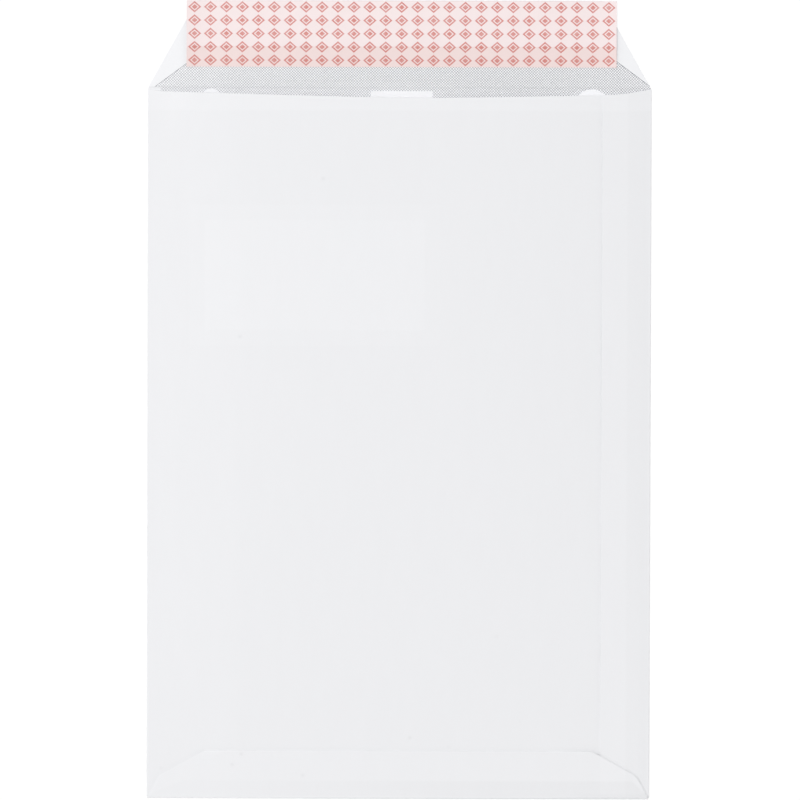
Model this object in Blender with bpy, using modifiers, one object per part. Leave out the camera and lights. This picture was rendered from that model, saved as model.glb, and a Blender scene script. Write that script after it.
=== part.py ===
"""A C4 window envelope with a peel-and-seal flap, lying on its front with the flap open.

One sheet of paper is cut to a blank, folded into a pocket and glued. The blank's front panel lies
on the ground with the window in it. The back panel is hinged on the left fold, a narrow side flap
on the right fold is glued over its edge, and the bottom flap is glued over both. The closing flap
lies open beyond the top fold, with its adhesive under a release liner. Seen from above, +Y points
from the bottom fold to the flap and +Z is up. The origin is under the middle of the whole outline.
"""

import math

import bmesh
import bpy
from mathutils import Vector

# The folded envelope
ENVELOPE_WIDTH = 0.229
ENVELOPE_HEIGHT = 0.324
PAPER = 0.00015
CREASE_GAP = 0.0003

# Glue lines, and the clear space that each thin layer keeps to the next
GLUE = 0.00004
CLEARANCE = 0.00008

# How far the middle of the mouth stands open, and how the pocket closes towards its folds
POCKET_RISE = 0.0065
RISE_POWER_ACROSS = 2.5
RISE_POWER_ALONG = 2.0

# Closing flap
FLAP_DEPTH = 0.0395
FLAP_NARROWING = 0.0222
SCORE_HEIGHT = 0.00012
SCORE_HALF_WIDTH = 0.0008

# Bottom flap: steep sides from the corners, then shallow shoulders up to its edge
BOTTOM_FLAP_DEPTH = 0.0217
BOTTOM_FLAP_SIDE_ANGLE = math.radians(27.5)
BOTTOM_FLAP_SHOULDER_ANGLE = math.radians(28.9)
BOTTOM_FLAP_NARROWING = 0.0262
BOTTOM_FLAP_CORNER_SOFTNESS = 0.0003
CLIMB_LENGTH = 0.010
CLIMB_BEFORE_SEAM = 0.0065

# Back panel and side flap
SIDE_FLAP_WIDTH = 0.0224
SEAM_OVERLAP = 0.0115
BACK_END_GAP = 0.008
BACK_CORNER_LENGTH = 0.016
SIDE_FLAP_CORNER_LENGTH = 0.008
LOWER_CORNER_CUT = 0.0009

# Mouth: a shallow hollow in the back panel's upper edge, with short slopes at both folds
MOUTH_DEPTH = 0.005
MOUTH_HOLLOW = 0.0027
MOUTH_HOLLOW_POWER = 1.4
MOUTH_LOW_POINT_X = 0.012
MOUTH_LEFT_SLOPE = 0.0055
MOUTH_RIGHT_SLOPE = 0.0128

# Window in the front panel, and its film
WINDOW_WIDTH = 0.100
WINDOW_HEIGHT = 0.050
WINDOW_FROM_LEFT_FOLD = 0.026
WINDOW_FROM_TOP_FOLD = 0.0605
WINDOW_CORNER_RADIUS = 0.004
FILM = 0.00005
FILM_LAP = 0.007
WINDOW_GLUE_FROM_EDGE = 0.0015
WINDOW_GLUE_WIDTH = 0.004

# Seam glue
SIDE_GLUE_WIDTH = 0.0065
SIDE_GLUE_FROM_ENDS = 0.006
BOTTOM_GLUE_WIDTH = 0.007
BOTTOM_GLUE_FROM_EDGE = 0.003
BOTTOM_GLUE_FROM_SIDES = 0.008

# Adhesive on the closing flap, and the release liner over it
LINER = 0.00007
LINER_LENGTH = 0.1955
LINER_WIDTH = 0.0302
LINER_OFFSET_X = 0.0008
LINER_FROM_FLAP_EDGE = 0.0002
ADHESIVE = 0.00008
ADHESIVE_LENGTH = 0.176
ADHESIVE_WIDTH = 0.016
ADHESIVE_FROM_FLAP_EDGE = 0.0035

# How finely the grids follow the curves
COLUMNS = 20
ROWS = 16
CREASE_STEPS = 6
SIDE_FLAP_COLUMNS = 4
CLIMB_ROWS = 3
BOTTOM_FLAP_ROWS = 10
CLOSING_FLAP_ROWS = 3
GLUE_STEPS = 3
WINDOW_CORNER_STEPS = 6
SMOOTH_UP_TO = math.radians(30)

# Places that follow from the sizes
HALF_WIDTH = ENVELOPE_WIDTH / 2
BOTTOM_Y = -(ENVELOPE_HEIGHT + FLAP_DEPTH) / 2
FOLD_Y = BOTTOM_Y + ENVELOPE_HEIGHT
FLAP_EDGE_Y = FOLD_Y + FLAP_DEPTH
LAYER_GAP = GLUE + 2 * CLEARANCE
LEFT_CREASE_RADIUS = (2 * PAPER + CREASE_GAP) / 2
OUTER_CREASE_RADIUS = LEFT_CREASE_RADIUS + (PAPER + LAYER_GAP) / 2
FRONT_LEFT_X = -HALF_WIDTH + LEFT_CREASE_RADIUS
FRONT_RIGHT_X = HALF_WIDTH - OUTER_CREASE_RADIUS
FRONT_LOW_Y = BOTTOM_Y + OUTER_CREASE_RADIUS
BACK_LEVEL = 2 * LEFT_CREASE_RADIUS
FLAP_LEVEL = 2 * OUTER_CREASE_RADIUS
SIDE_FLAP_EDGE_X = HALF_WIDTH - SIDE_FLAP_WIDTH
BACK_EDGE_X = SIDE_FLAP_EDGE_X + SEAM_OVERLAP
WINDOW_X = -HALF_WIDTH + WINDOW_FROM_LEFT_FOLD + WINDOW_WIDTH / 2
WINDOW_Y = FOLD_Y - WINDOW_FROM_TOP_FOLD - WINDOW_HEIGHT / 2
WELD_DISTANCE = 1e-6


def between(start, end, share):
    """The value that lies a share of the way from start to end."""
    return start + (end - start) * share


def shares(count):
    """Evenly spaced shares from 0 to 1."""
    return [i / count for i in range(count + 1)]


def limited(value):
    return max(0.0, min(1.0, value))


def eased(value, start, end):
    """0 before start and 1 after end, with a smooth turn between them."""
    share = limited((value - start) / (end - start))
    return share * share * (3 - 2 * share)


def rise(x, y):
    """How far the layers over the pocket stand above their flat level: most at the mouth's middle."""
    half = min(-FRONT_LEFT_X, FRONT_RIGHT_X)
    across = 1 - limited(abs(x) / half) ** RISE_POWER_ACROSS
    length = FOLD_Y - FRONT_LOW_Y
    along = 1 - limited(1 - (y - FRONT_LOW_Y) / length) ** RISE_POWER_ALONG
    return POCKET_RISE * across * along


def climb(x, y):
    """How far the bottom flap steps up to pass over the side flap."""
    seam_start = SIDE_FLAP_EDGE_X - CLIMB_BEFORE_SEAM
    over_side_flap = eased(x, seam_start - CLIMB_LENGTH, seam_start)
    past_fold = eased(y, FRONT_LOW_Y, BOTTOM_Y + LOWER_CORNER_CUT)
    return (PAPER + LAYER_GAP) * over_side_flap * past_fold


def mouth_y(x, slope_share):
    """The upper edge of the layers behind the mouth; slope_share is 0 at a fold and 1 past its slope."""
    off_centre = abs(x - MOUTH_LOW_POINT_X) / HALF_WIDTH
    depth = MOUTH_DEPTH - MOUTH_HOLLOW * off_centre**MOUTH_HOLLOW_POWER
    return FOLD_Y - between(SCORE_HALF_WIDTH, depth, limited(slope_share))


def back_edges(x):
    """The lower and upper edge of the back panel at x."""
    inward = x - FRONT_LEFT_X
    end_gap = between(LOWER_CORNER_CUT, BACK_END_GAP, limited(inward / BACK_CORNER_LENGTH))
    return BOTTOM_Y + end_gap, mouth_y(x, inward / MOUTH_LEFT_SLOPE)


def side_flap_edges(x):
    """The lower and upper edge of the side flap at x."""
    inward = FRONT_RIGHT_X - x
    end_gap = between(LOWER_CORNER_CUT, BACK_END_GAP, limited(inward / SIDE_FLAP_CORNER_LENGTH))
    return BOTTOM_Y + end_gap, mouth_y(x, inward / MOUTH_RIGHT_SLOPE)


def drawn_in(up):
    """The larger of the bottom flap's two side slopes, with their corner rounded."""
    steep = up * math.tan(BOTTOM_FLAP_SIDE_ANGLE)
    left = BOTTOM_FLAP_DEPTH - up
    shallow = BOTTOM_FLAP_NARROWING - left / math.tan(BOTTOM_FLAP_SHOULDER_ANGLE)
    apart = (steep - shallow) / 2
    return (steep + shallow) / 2 + math.hypot(apart, BOTTOM_FLAP_CORNER_SOFTNESS)


def bottom_flap_narrowing(up):
    """How far each side of the bottom flap has drawn in at this distance up from its fold."""
    return drawn_in(up) - drawn_in(0.0)


def front_columns():
    """Places across the front panel, closer together towards the folds."""
    return [
        between(FRONT_LEFT_X, FRONT_RIGHT_X, 0.5 + 0.5 * math.sin(math.pi * (share - 0.5)))
        for share in shares(COLUMNS)
    ]


def crease(radius):
    """A half-turn of a crease's outer face, as (distance past the fold's centre, height)."""
    angles = [math.pi * share for share in shares(CREASE_STEPS)]
    return [(radius * math.sin(angle), radius - radius * math.cos(angle)) for angle in angles]


def add_patch(sheet, across, along, place):
    """Add a grid to the sheet and put its point (i, j) where place(across[i], along[j]) says."""
    last_i = len(across) - 1
    last_j = len(along) - 1
    grid = bmesh.ops.create_grid(sheet, x_segments=last_i, y_segments=last_j, size=0.5)
    for vert in grid["verts"]:
        i = round((vert.co.x + 0.5) * last_i)
        j = round((vert.co.y + 0.5) * last_j)
        vert.co = place(across[i], along[j])


def layer_point(section_point, share, edges):
    """A point of a layer over the pocket, a share of the way from its lower edge to the mouth."""
    x, level = section_point
    low, high = edges(x)
    y = between(low, high, share)
    return Vector((x, y, level + rise(x, y)))


def bottom_flap_point(x, profile_point):
    """A point of the bottom crease or the bottom flap."""
    y, level = profile_point
    up = max(0.0, y - FRONT_LOW_Y)
    x *= 1 - bottom_flap_narrowing(up) / HALF_WIDTH
    return Vector((x, y, level + rise(x, y) + climb(x, y) * level / FLAP_LEVEL))


def closing_flap_point(x, up):
    y = FOLD_Y + up
    x *= 1 - FLAP_NARROWING * up / FLAP_DEPTH / HALF_WIDTH
    return Vector((x, y, SCORE_HEIGHT if up == 0 else 0.0))


def add_front(sheet):
    """The flat front panel, from the bottom crease to the scored top fold."""
    low, high = back_edges(FRONT_LEFT_X)
    rows = [FRONT_LOW_Y] + [between(low, high, share) for share in shares(ROWS)] + [FOLD_Y]
    add_patch(
        sheet,
        front_columns(),
        rows,
        lambda x, y: Vector((x, y, SCORE_HEIGHT if y == FOLD_Y else 0.0)),
    )


def add_back(sheet):
    """The left crease and the back panel, from the panel's free edge round to the front."""
    panel = [(x, BACK_LEVEL) for x in front_columns()[1:] if x < BACK_EDGE_X - CLEARANCE]
    panel.append((BACK_EDGE_X, BACK_LEVEL))
    turn = [(FRONT_LEFT_X - out, up) for out, up in crease(LEFT_CREASE_RADIUS)]
    section = list(reversed(turn + panel))
    add_patch(sheet, section, shares(ROWS), lambda p, share: layer_point(p, share, back_edges))


def add_side_flap(sheet):
    """The right crease and the side flap, from the front round to the flap's free edge."""
    turn = [(FRONT_RIGHT_X + out, up) for out, up in crease(OUTER_CREASE_RADIUS)]
    panel = [
        (between(FRONT_RIGHT_X, SIDE_FLAP_EDGE_X, share), FLAP_LEVEL)
        for share in shares(SIDE_FLAP_COLUMNS)[1:]
    ]
    add_patch(
        sheet, turn + panel, shares(ROWS), lambda p, share: layer_point(p, share, side_flap_edges)
    )


def add_bottom_flap(sheet):
    """The bottom crease and the bottom flap, from the flap's free edge round to the front."""
    turn = [(FRONT_LOW_Y - out, up) for out, up in crease(OUTER_CREASE_RADIUS)]
    first_y = BOTTOM_Y + LOWER_CORNER_CUT
    start = [
        (between(FRONT_LOW_Y, first_y, share), FLAP_LEVEL) for share in shares(CLIMB_ROWS)[1:]
    ]
    edge_y = BOTTOM_Y + BOTTOM_FLAP_DEPTH
    panel = [
        (between(first_y, edge_y, share), FLAP_LEVEL) for share in shares(BOTTOM_FLAP_ROWS)[1:]
    ]
    profile = list(reversed(turn + start + panel))
    add_patch(sheet, front_columns(), profile, bottom_flap_point)


def add_closing_flap(sheet):
    rows = [0.0] + [
        between(SCORE_HALF_WIDTH, FLAP_DEPTH, share) for share in shares(CLOSING_FLAP_ROWS)
    ]
    add_patch(sheet, front_columns(), rows, closing_flap_point)


def material(name, colour, roughness, alpha=1.0):
    made = bpy.data.materials.new(name)
    made.use_nodes = True
    shader = made.node_tree.nodes["Principled BSDF"]
    shader.inputs["Base Color"].default_value = (*colour, 1.0)
    shader.inputs["Roughness"].default_value = roughness
    shader.inputs["Metallic"].default_value = 0.0
    shader.inputs["Alpha"].default_value = alpha
    made.diffuse_color = (*colour, alpha)
    return made


def add_object(name, bm, collection, finish):
    """Turn a bmesh into a named object with its material."""
    mesh = bpy.data.meshes.new(name)
    bm.to_mesh(mesh)
    bm.free()
    mesh.shade_smooth()
    mesh.set_sharp_from_angle(angle=SMOOTH_UP_TO)
    made = bpy.data.objects.new(name, mesh)
    made.data.materials.append(finish)
    collection.objects.link(made)
    return made


def add_thickness(target, thickness, offset):
    """Give an open surface its thickness; offset 1 grows it along the normals and -1 against them."""
    solidify = target.modifiers.new("Thickness", "SOLIDIFY")
    solidify.thickness = thickness
    solidify.offset = offset
    solidify.use_even_offset = True


def make_sheet(collection, cutters, finish):
    """The folded blank: its outer face as one open surface, thickened inwards, with the window cut."""
    bm = bmesh.new()
    for add in (add_front, add_back, add_side_flap, add_bottom_flap, add_closing_flap):
        add(bm)
    bmesh.ops.remove_doubles(bm, verts=bm.verts[:], dist=WELD_DISTANCE)
    sheet = add_object("envelope_sheet", bm, collection, finish)
    add_thickness(sheet, PAPER, 1)
    window = sheet.modifiers.new("Window", "BOOLEAN")
    window.operation = "DIFFERENCE"
    window.object = make_window_cutter(cutters)
    return sheet


def make_window_cutter(cutters):
    """A block with rounded upright edges that passes through the front panel only."""
    top = PAPER + CREASE_GAP / 2
    bottom = -PAPER
    height = top - bottom
    bm = bmesh.new()
    bmesh.ops.create_cube(bm, size=1.0)
    bmesh.ops.scale(bm, vec=(WINDOW_WIDTH, WINDOW_HEIGHT, height), verts=bm.verts[:])
    upright = [
        edge for edge in bm.edges if abs(edge.verts[0].co.z - edge.verts[1].co.z) > height / 2
    ]
    bmesh.ops.bevel(
        bm,
        geom=upright,
        offset=WINDOW_CORNER_RADIUS,
        segments=WINDOW_CORNER_STEPS,
        profile=0.5,
        affect="EDGES",
        clamp_overlap=True,
    )
    cutter = add_object("window_cutter", bm, cutters, None)
    cutter.location = (WINDOW_X, WINDOW_Y, (top + bottom) / 2)
    cutter.hide_render = True
    cutter.display_type = "WIRE"
    return cutter


def make_plate(name, collection, finish, size, centre, base):
    """A flat cut piece of film, paper or adhesive that lies with its underside at base."""
    bm = bmesh.new()
    bmesh.ops.create_cube(bm, size=1.0)
    bmesh.ops.scale(bm, vec=size, verts=bm.verts[:])
    made = add_object(name, bm, collection, finish)
    made.location = (centre[0], centre[1], base + size[2] / 2)
    return made


def rectangle(width, height):
    return [(x * width / 2, y * height / 2) for x, y in ((-1, -1), (1, -1), (1, 1), (-1, 1))]


def make_window_glue(collection, finish):
    """A frame of glue round the window, on the front panel's inner face."""
    curve = bpy.data.curves.new("window_glue", "CURVE")
    curve.dimensions = "2D"
    curve.fill_mode = "BOTH"
    curve.extrude = GLUE / 2
    for outward in (WINDOW_GLUE_FROM_EDGE, WINDOW_GLUE_FROM_EDGE + WINDOW_GLUE_WIDTH):
        corners = rectangle(WINDOW_WIDTH + 2 * outward, WINDOW_HEIGHT + 2 * outward)
        spline = curve.splines.new("POLY")
        spline.points.add(len(corners) - 1)
        for point, (x, y) in zip(spline.points, corners):
            point.co = (x, y, 0.0, 1.0)
        spline.use_cyclic_u = True
    glue = bpy.data.objects.new("window_glue", curve)
    glue.data.materials.append(finish)
    glue.location = (WINDOW_X, WINDOW_Y, PAPER + CLEARANCE + GLUE / 2)
    collection.objects.link(glue)


def make_side_glue(collection, finish):
    """The glue line between the back panel's right edge and the side flap."""
    middle = (SIDE_FLAP_EDGE_X + BACK_EDGE_X) / 2
    level = BACK_LEVEL + CLEARANCE
    section = [
        (between(middle - SIDE_GLUE_WIDTH / 2, middle + SIDE_GLUE_WIDTH / 2, share), level)
        for share in shares(GLUE_STEPS)
    ]
    first = SIDE_GLUE_FROM_ENDS / ENVELOPE_HEIGHT
    rows = [first] + [share for share in shares(ROWS) if first < share < 1 - first] + [1 - first]
    bm = bmesh.new()
    add_patch(bm, section, rows, lambda p, share: layer_point(p, share, back_edges))
    add_thickness(add_object("side_seam_glue", bm, collection, finish), GLUE, 1)


def make_bottom_glue(collection, finish):
    """The glue line under the bottom flap, over the back panel and the side flap."""
    level = FLAP_LEVEL - PAPER - CLEARANCE
    high = BOTTOM_Y + BOTTOM_FLAP_DEPTH - BOTTOM_GLUE_FROM_EDGE
    profile = [between(high - BOTTOM_GLUE_WIDTH, high, share) for share in shares(GLUE_STEPS)]
    columns = [x for x in front_columns() if abs(x) < HALF_WIDTH - BOTTOM_GLUE_FROM_SIDES]

    def place(x, y):
        point = bottom_flap_point(x, (y, FLAP_LEVEL))
        point.z += level - FLAP_LEVEL
        return point

    bm = bmesh.new()
    add_patch(bm, columns, profile, place)
    add_thickness(add_object("bottom_seam_glue", bm, collection, finish), GLUE, -1)


def make_film(collection, finish):
    """The clear film behind the window, held by the frame of glue."""
    size = (WINDOW_WIDTH + 2 * FILM_LAP, WINDOW_HEIGHT + 2 * FILM_LAP, FILM)
    make_plate("window_film", collection, finish, size, (WINDOW_X, WINDOW_Y), PAPER + LAYER_GAP)


def make_flap_seal(collection, adhesive_finish, liner_finish):
    """The band of adhesive on the closing flap and the liner that covers it."""
    adhesive_base = PAPER + CLEARANCE
    adhesive_y = FLAP_EDGE_Y - ADHESIVE_FROM_FLAP_EDGE - ADHESIVE_WIDTH / 2
    make_plate(
        "flap_adhesive",
        collection,
        adhesive_finish,
        (ADHESIVE_LENGTH, ADHESIVE_WIDTH, ADHESIVE),
        (LINER_OFFSET_X, adhesive_y),
        adhesive_base,
    )
    make_plate(
        "release_liner",
        collection,
        liner_finish,
        (LINER_LENGTH, LINER_WIDTH, LINER),
        (LINER_OFFSET_X, FLAP_EDGE_Y - LINER_FROM_FLAP_EDGE - LINER_WIDTH / 2),
        adhesive_base + ADHESIVE + CLEARANCE,
    )


def main():
    for old in list(bpy.data.objects):
        bpy.data.objects.remove(old)
    envelope = bpy.data.collections.new("window_envelope")
    cutters = bpy.data.collections.new("cutters")
    bpy.context.scene.collection.children.link(envelope)
    bpy.context.scene.collection.children.link(cutters)

    paper = material("white paper", (0.86, 0.865, 0.88), 0.85)
    glue = material("dried glue", (0.82, 0.80, 0.72), 0.5)
    film = material("clear film", (0.90, 0.92, 0.94), 0.1, alpha=0.3)
    adhesive = material("pressure adhesive", (0.86, 0.82, 0.66), 0.35)
    liner = material("printed liner", (0.87, 0.67, 0.665), 0.6)

    make_sheet(envelope, cutters, paper)
    make_side_glue(envelope, glue)
    make_bottom_glue(envelope, glue)
    make_window_glue(envelope, glue)
    make_film(envelope, film)
    make_flap_seal(envelope, adhesive, liner)


main()
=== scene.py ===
# %% [markdown]
# # A window envelope, open on a white table
#
# The object is a large white pocket envelope, seen from its seamed back with the flap open. Its
# solids are built already: the folded sheet, the window film, the glue lines, the adhesive and the
# release liner come in at their real size. This script gives them their looks, and says before
# each step what the real thing is and why it is made this way. Lengths are in metres, +Z is up,
# and +Y runs from the bottom fold to the flap.

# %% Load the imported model
import math

import bmesh
import bpy
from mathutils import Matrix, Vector


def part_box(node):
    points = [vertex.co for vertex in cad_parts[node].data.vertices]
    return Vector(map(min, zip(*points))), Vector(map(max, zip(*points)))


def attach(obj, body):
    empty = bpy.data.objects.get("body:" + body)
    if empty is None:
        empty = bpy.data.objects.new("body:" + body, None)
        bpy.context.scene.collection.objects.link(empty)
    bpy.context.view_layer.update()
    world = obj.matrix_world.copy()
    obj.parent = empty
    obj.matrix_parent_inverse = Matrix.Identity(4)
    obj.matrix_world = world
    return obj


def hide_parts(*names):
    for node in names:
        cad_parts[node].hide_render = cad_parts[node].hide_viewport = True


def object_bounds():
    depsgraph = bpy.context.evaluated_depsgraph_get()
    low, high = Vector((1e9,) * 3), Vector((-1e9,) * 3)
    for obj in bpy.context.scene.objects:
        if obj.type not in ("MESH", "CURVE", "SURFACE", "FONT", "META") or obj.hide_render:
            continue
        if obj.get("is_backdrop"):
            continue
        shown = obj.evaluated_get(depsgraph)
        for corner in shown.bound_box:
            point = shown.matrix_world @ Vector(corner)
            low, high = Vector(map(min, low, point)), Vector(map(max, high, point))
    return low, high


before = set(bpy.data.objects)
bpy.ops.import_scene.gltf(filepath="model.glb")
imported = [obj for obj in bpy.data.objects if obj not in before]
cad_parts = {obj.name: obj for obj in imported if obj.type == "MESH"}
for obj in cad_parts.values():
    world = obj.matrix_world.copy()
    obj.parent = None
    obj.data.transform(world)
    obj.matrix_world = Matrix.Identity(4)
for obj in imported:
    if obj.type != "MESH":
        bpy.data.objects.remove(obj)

cad_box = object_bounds()
for name in sorted(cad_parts):
    low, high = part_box(name)
    print(name, "is", " x ".join(f"{1000 * side:.2f}" for side in high - low), "mm")

# %% [markdown]
# ## Where the folds are
#
# Every finish has to know where the folds lie. They could be picked out of the mesh, but the box
# of the loaded sheet gives three of them at once, and the depth of the flap, a size from the
# maker's drawing, gives the fourth.

# %% Where the folds are
FLAP_DEPTH = 0.0395

sheet_low, sheet_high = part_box("envelope_sheet")
HALF_WIDTH = sheet_high.x
BOTTOM_Y = sheet_low.y
FOLD_Y = sheet_high.y - FLAP_DEPTH
print("pocket:", round(2000 * HALF_WIDTH), "mm wide and", round(1000 * (FOLD_Y - BOTTOM_Y)), "mm deep")

# %% [markdown]
# ## Camera
#
# The envelope lies flat, so the camera hangs over it and looks straight down. A near camera would
# make the raised mouth look larger than the rest. A long lens from 3 m keeps the outline nearly
# parallel. The view leans by about a degree towards the flap, so that the envelope narrows very
# slightly towards its bottom fold, and it is turned by a fraction of a degree.

# %% Camera
CAMERA_DISTANCE = 3.0
VIEW_WIDTH = 0.3641
VIEW_CENTRE = Vector((0.0003, 0.0, 0.0))
LEAN = math.radians(1.3)
TURN = math.radians(0.16)

camera_data = bpy.data.cameras.new("camera")
camera_data.lens = camera_data.sensor_width * CAMERA_DISTANCE / VIEW_WIDTH
camera = bpy.data.objects.new("camera", camera_data)
bpy.context.scene.collection.objects.link(camera)
camera.location = VIEW_CENTRE + CAMERA_DISTANCE * Vector((0, math.sin(LEAN), math.cos(LEAN)))
camera.rotation_euler = (-LEAN, 0, TURN)
bpy.context.scene.camera = camera
print("lens:", round(camera_data.lens), "mm")

# %% [markdown]
# ## The paper sheet
#
# The real envelope is one die-cut blank, folded and glued. Folding a new sheet here would only
# repeat what the loaded solid has already, so a copy of it is dressed instead. The solid itself
# stays as it came.

# %% Copy the loaded sheet
bpy.ops.object.select_all(action="DESELECT")
sheet_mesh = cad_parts["envelope_sheet"].data.copy()
sheet_mesh.materials.clear()
paper_sheet = bpy.data.objects.new("paper_sheet", sheet_mesh)
bpy.context.scene.collection.objects.link(paper_sheet)
paper_sheet.select_set(True)
bpy.context.view_layer.objects.active = paper_sheet
print("copied sheet:", len(sheet_mesh.vertices), "points and", len(sheet_mesh.polygons), "faces")

# %% [markdown]
# ## One skin with crisp cut edges
#
# The loaded faces are loose flat triangles. Merging their points turns them into one skin, and
# joining the triangles in pairs makes four-sided faces. The gentle swell of the pocket is then
# shaded smooth, while every edge sharper than the limit, such as a cut edge, stays crisp.

# %% Merge the copy into one skin
MERGE_DISTANCE = 1e-5
CRISP_FROM = math.radians(35)

bpy.ops.object.mode_set(mode="EDIT")
bpy.ops.mesh.select_all(action="SELECT")
bpy.ops.mesh.remove_doubles(threshold=MERGE_DISTANCE)
bpy.ops.mesh.tris_convert_to_quads()
bpy.ops.object.mode_set(mode="OBJECT")
bpy.ops.object.shade_smooth_by_angle(angle=CRISP_FROM)
print("merged skin:", len(sheet_mesh.vertices), "points and", len(sheet_mesh.polygons), "faces")

# %% [markdown]
# ## White paper
#
# The outside of the envelope is white wove paper, matt and faintly blue. A picture of paper would
# be quick, but it would bring its own size and its own light. A network of nodes has neither, and
# it can follow the folds exactly. It starts with the shader and the place of each point, split
# along the three axes.

# %% Open the white paper finish
PAPER_ROUGHNESS = 0.75
PAPER_GLOSS = 0.3


def start_finish(name, roughness, gloss):
    """A new material, its shader, and the place of each point in metres."""
    finish = bpy.data.materials.new(name)
    finish.use_nodes = True
    shader = finish.node_tree.nodes["Principled BSDF"]
    shader.inputs["Roughness"].default_value = roughness
    shader.inputs["Specular IOR Level"].default_value = gloss
    return finish, shader, finish.node_tree.nodes.new("ShaderNodeTexCoord").outputs["Object"]


def along_axes(place):
    """The x, y and z of a place."""
    split = place.id_data.nodes.new("ShaderNodeSeparateXYZ")
    place.id_data.links.new(place, split.inputs[0])
    return split.outputs


white_paper, paper_shader, place = start_finish("white_paper", PAPER_ROUGHNESS, PAPER_GLOSS)
x, y, z = along_axes(place)
print(white_paper.name, "starts with", len(white_paper.node_tree.nodes), "nodes")

# %% [markdown]
# ## Arithmetic with nodes
#
# Most of what follows is arithmetic on the place of a point. Each helper adds one kind of node and
# returns its output, so that the arithmetic can be written in plain lines. A value may be a number
# or another node's output, and an output knows the network that it belongs to.

# %% Arithmetic with nodes
def network_of(*values):
    """The node network that holds the first of these values that is a node's output."""
    return next(value.id_data for value in values if isinstance(value, bpy.types.NodeSocket))


def feed(value, socket):
    """Set a socket to a number or a colour, or link another node's output to it."""
    if isinstance(value, bpy.types.NodeSocket):
        socket.id_data.links.new(value, socket)
    else:
        socket.default_value = value


def calc(operation, *values):
    """The result of one Math node."""
    node = network_of(*values).nodes.new("ShaderNodeMath")
    node.operation = operation
    for socket, value in zip(node.inputs, values):
        feed(value, socket)
    return node.outputs[0]


def total(first, *others):
    """The sum of several values."""
    for other in others:
        first = calc("ADD", first, other)
    return first


def product(first, *others):
    """The product of several values. Of masks, it is 1 only where all of them are."""
    for other in others:
        first = calc("MULTIPLY", first, other)
    return first


above_fold = calc("SUBTRACT", y, FOLD_Y)
above_bottom = calc("SUBTRACT", y, BOTTOM_Y)
print("two heights are ready, from nodes called", above_fold.node.name, "and", above_bottom.node.name)

# %% [markdown]
# ## Soft steps and bands
#
# A tone that changes at an edge would be a hard step in a drawing. In paper it is never quite
# hard, because light spreads inside the sheet. A Map Range node with a smooth step gives that
# softness, and two such steps back to back give a band. The front panel lies on the table at
# height zero, so a step in height tells it from the back.

# %% Soft steps and bands
FOLD_SOFTNESS = 0.0004
PAPER = 0.00015
FRONT_UP_TO = 0.3 * PAPER
BACK_FROM = 0.7 * PAPER


def ramp(value, start, end, first=0.0, last=1.0):
    """A smooth turn from first to last while value goes from start to end."""
    node = network_of(value).nodes.new("ShaderNodeMapRange")
    node.interpolation_type = "SMOOTHSTEP"
    for socket, setting in zip(node.inputs, (value, start, end, first, last)):
        feed(setting, socket)
    return node.outputs[0]


def near(value, centre, half, softness):
    """1 where value lies within half of centre, and 0 past it, with a soft edge."""
    away = calc("ABSOLUTE", calc("SUBTRACT", value, centre))
    return ramp(away, half - softness / 2, half + softness / 2, 1.0, 0.0)


past_fold = ramp(above_fold, -FOLD_SOFTNESS / 2, FOLD_SOFTNESS / 2)
on_top = ramp(z, FRONT_UP_TO, BACK_FROM)
print("the back turns into the flap within", 1000 * FOLD_SOFTNESS, "mm")

# %% [markdown]
# ## Paper grain
#
# Held to the light, wove paper is cloudy, and the clouds are drawn out a little along the machine's
# direction. Two soft noises, squeezed along Y, give the clouds and the fine fibre. Noise seldom
# comes near 0 or 1, so its middle range is spread over the wanted tones. They differ by a few
# parts in a thousand only: white paper that shows its grain more looks like stone.

# %% Paper grain
NOISE_RANGE = (0.3, 0.7)
FINE_DETAIL = 3.0
CLOUD_SCALE = 170
CLOUD_SQUEEZE = 0.3
CLOUD_TONES = (0.9965, 1.0015)
FIBRE_SCALE = 1500
FIBRE_SQUEEZE = 0.5
FIBRE_TONES = (-0.002, 0.002)


def speckle(place, scale, detail=2.0):
    """Soft noise between 0 and 1, with about this many spots in a metre."""
    node = network_of(place).nodes.new("ShaderNodeTexNoise")
    feed(place, node.inputs["Vector"])
    node.inputs["Scale"].default_value = scale
    node.inputs["Detail"].default_value = detail
    return node.outputs["Fac"]


def mottle(place, scale, tones, detail=2.0):
    """Soft noise that wanders between two tones."""
    return ramp(speckle(place, scale, detail), *NOISE_RANGE, *tones)


def squeezed(place, share):
    """The place of a point, with its Y squeezed, so that a pattern on it is drawn out along Y."""
    node = network_of(place).nodes.new("ShaderNodeMapping")
    feed(place, node.inputs["Vector"])
    node.inputs["Scale"].default_value = (1, share, 1)
    return node.outputs[0]


def paper_grain(place):
    """The tone of bare paper, around 1."""
    clouds = mottle(squeezed(place, CLOUD_SQUEEZE), CLOUD_SCALE, CLOUD_TONES, FINE_DETAIL)
    fibres = mottle(squeezed(place, FIBRE_SQUEEZE), FIBRE_SCALE, FIBRE_TONES)
    return total(clouds, fibres)


grain = paper_grain(place)
print("grain:", len(white_paper.node_tree.nodes), "nodes so far")

# %% [markdown]
# ## What shows through the back
#
# The paper isn't quite opaque. The print inside makes the back a little darker than the bare
# corners of the flap, and wherever the layers behind a place change, its tone changes by about one
# part in a hundred. The window shows as a paler rectangle and the glued overlap of the side seam as
# a paler band. Real light through thin sheets would take very long to work out, so each layer is a
# mask with its share of tone.

# %% Window, film and seam
OVER_PRINT = 0.945
GLUE_PAST_WINDOW = 0.0055
SIDE_FLAP_WIDTH = 0.0224
BACK_EDGE_FROM_RIGHT = 0.0109
LAYER_SOFTNESS = 0.0012
WINDOW_TONE = 0.010
FILM_TONE = 0.006
OVERLAP_TONE = 0.012
SINGLE_LAYER_TONE = -0.003


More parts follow.
